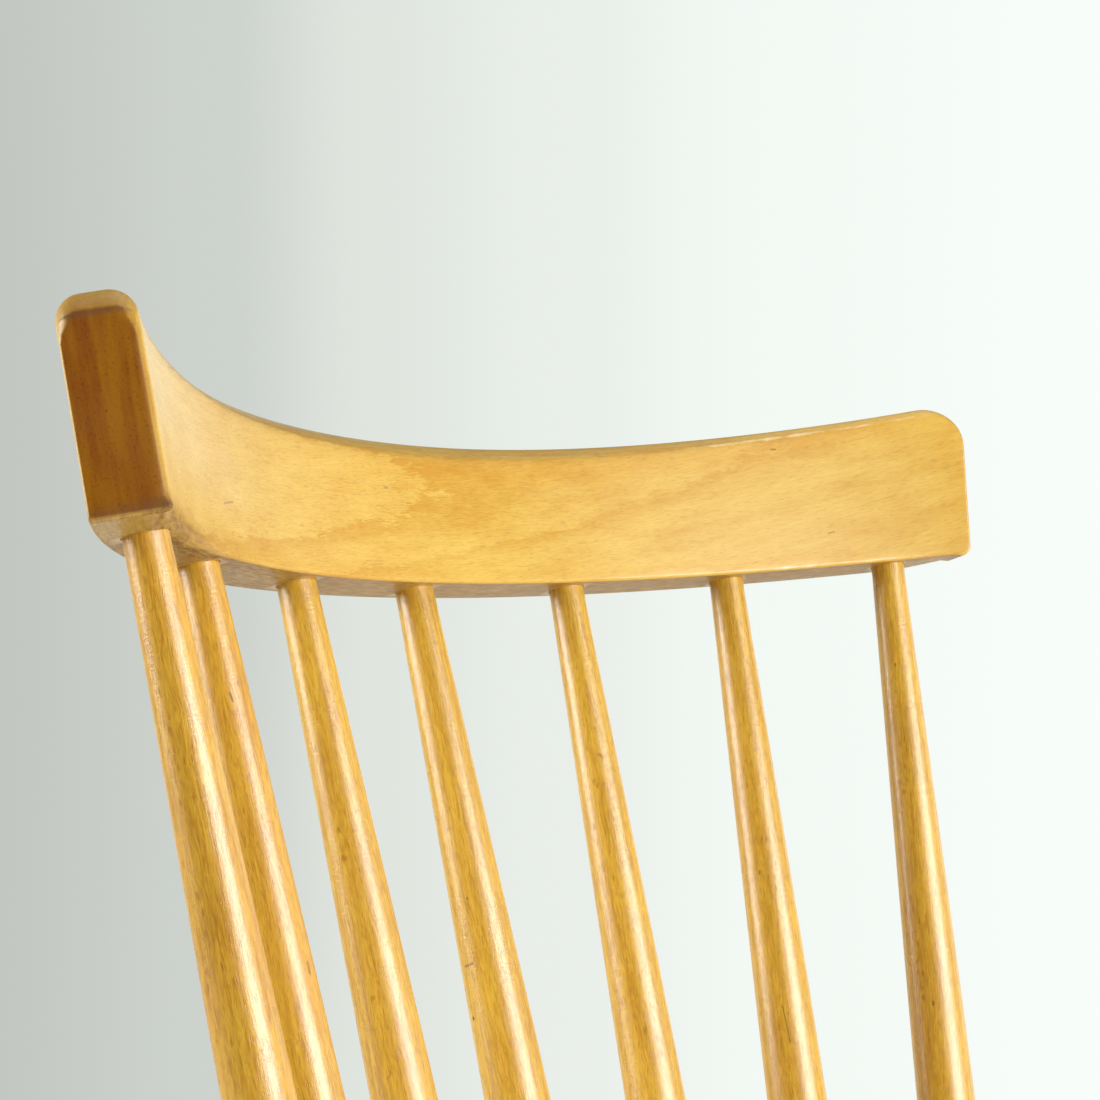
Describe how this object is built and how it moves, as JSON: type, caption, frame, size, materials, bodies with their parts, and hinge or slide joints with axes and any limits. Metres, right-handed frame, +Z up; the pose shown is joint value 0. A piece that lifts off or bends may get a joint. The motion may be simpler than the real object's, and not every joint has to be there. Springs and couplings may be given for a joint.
{
  "type": "wooden side chair",
  "caption": "Spindle-back side chair: bent crest rail on turned spindles, saddled seat, splayed wedged legs, turned stretchers and nailed glides.",
  "frame": {"origin": "on the floor, under the middle of the chair's box", "axes": "+X to the right as seen from the front, +Y towards the back, so that a sitter faces -Y, +Z up"},
  "size_m": [0.447, 0.4896, 0.866],
  "materials": {
    "lacquered_beech": "satin clear lacquer",
    "dark_wedge_wood": "satin clear lacquer on end grain",
    "glide_plastic": "matt"
  },
  "bodies": {
    "root": {"crest_rail": "lacquered_beech", "spindle_1": "lacquered_beech", "spindle_2": "lacquered_beech", "spindle_3": "lacquered_beech", "spindle_4": "lacquered_beech", "spindle_5": "lacquered_beech", "spindle_6": "lacquered_beech", "spindle_7": "lacquered_beech", "seat": "lacquered_beech", "leg_front_left": "lacquered_beech", "leg_front_right": "lacquered_beech", "leg_back_left": "lacquered_beech", "leg_back_right": "lacquered_beech", "side_stretcher_left": "lacquered_beech", "side_stretcher_right": "lacquered_beech", "cross_stretcher": "lacquered_beech", "wedge_front_left": "dark_wedge_wood", "wedge_front_right": "dark_wedge_wood", "wedge_back_left": "dark_wedge_wood", "wedge_back_right": "dark_wedge_wood", "glide_front_left": "glide_plastic", "glide_front_right": "glide_plastic", "glide_back_left": "glide_plastic", "glide_back_right": "glide_plastic"}
  },
  "joints": []
}
